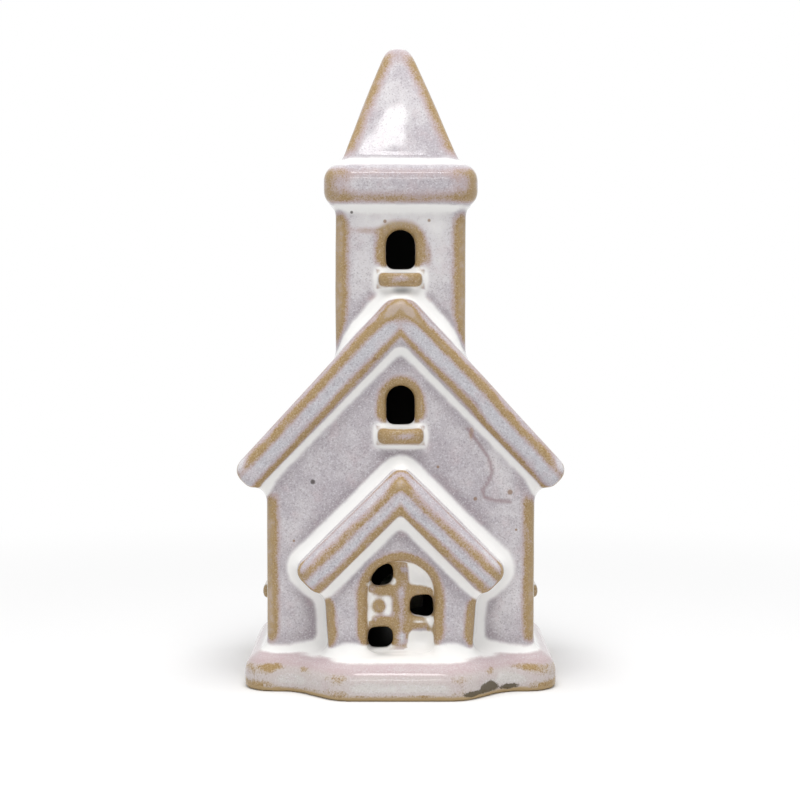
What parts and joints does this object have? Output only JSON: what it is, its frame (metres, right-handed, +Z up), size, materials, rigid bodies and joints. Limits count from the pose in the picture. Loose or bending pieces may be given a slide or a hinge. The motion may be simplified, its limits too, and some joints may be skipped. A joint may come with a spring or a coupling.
{
  "type": "ceramic christmas village house",
  "caption": "Small glazed stoneware church for a christmas village, with a gabled porch, a square tower and a spire, hollow and pierced so that a battery light in its base shines out.",
  "frame": {"origin": "on the standing surface, under the middle of the tower and of the whole footprint", "axes": "+Z up along the spire, -Y towards the door, +X to the right of someone facing the door"},
  "size_m": [0.0736, 0.062, 0.146],
  "materials": {
    "glazed_stoneware": "gloss reactive glaze: speckled lavender grey, tan on the edges, white in the creases",
    "white_plastic": "moulded, fine spark texture",
    "clear_silicone": "satin",
    "frosted_plastic": "frosted",
    "warm_epoxy": "gloss",
    "board_laminate": "satin solder mask",
    "cell_steel": "satin",
    "contact_metal": "nickel plated",
    "black_plastic": "satin",
    "screw_steel": "zinc plated"
  },
  "bodies": {
    "house": {"base_plinth": "glazed_stoneware", "nave_walls": "glazed_stoneware", "nave_roof": "glazed_stoneware", "porch_walls": "glazed_stoneware", "porch_roof": "glazed_stoneware", "door_panel": "glazed_stoneware", "tower_walls": "glazed_stoneware", "tower_cornice": "glazed_stoneware", "spire": "glazed_stoneware", "gable_window_sill": "glazed_stoneware", "tower_window_sill": "glazed_stoneware", "left_window_sill": "glazed_stoneware", "right_window_sill": "glazed_stoneware"},
    "light_unit": {"light_housing": "white_plastic", "grip_ring": "clear_silicone", "dome_lens": "frosted_plastic", "led_bulb": "warm_epoxy", "circuit_board": "board_laminate", "coin_cell": "cell_steel", "positive_contact": "contact_metal", "negative_contact": "contact_metal", "switch_body": "black_plastic"},
    "switch": {"switch_knob": "black_plastic"},
    "cover": {"battery_cover": "white_plastic"},
    "screw": {"cover_screw": "screw_steel"}
  },
  "joints": [
    {"name": "light_unit_pull", "type": "slide", "parent": "house", "child": "light_unit", "axis": [0, 0, -1], "range_m": [0, 0.024]},
    {"name": "switch_slide", "type": "slide", "parent": "light_unit", "child": "switch", "axis": [0, 1, 0], "range_m": [0, 0.002]},
    {"name": "battery_cover_lift", "type": "slide", "parent": "light_unit", "child": "cover", "axis": [0, 0, -1], "range_m": [0, 0.008]},
    {"name": "cover_screw_turn", "type": "hinge", "parent": "cover", "child": "screw", "pos_m": [0.00639, 0.01454, 0.0023], "axis": [0, 0, 1], "continuous": true}
  ]
}
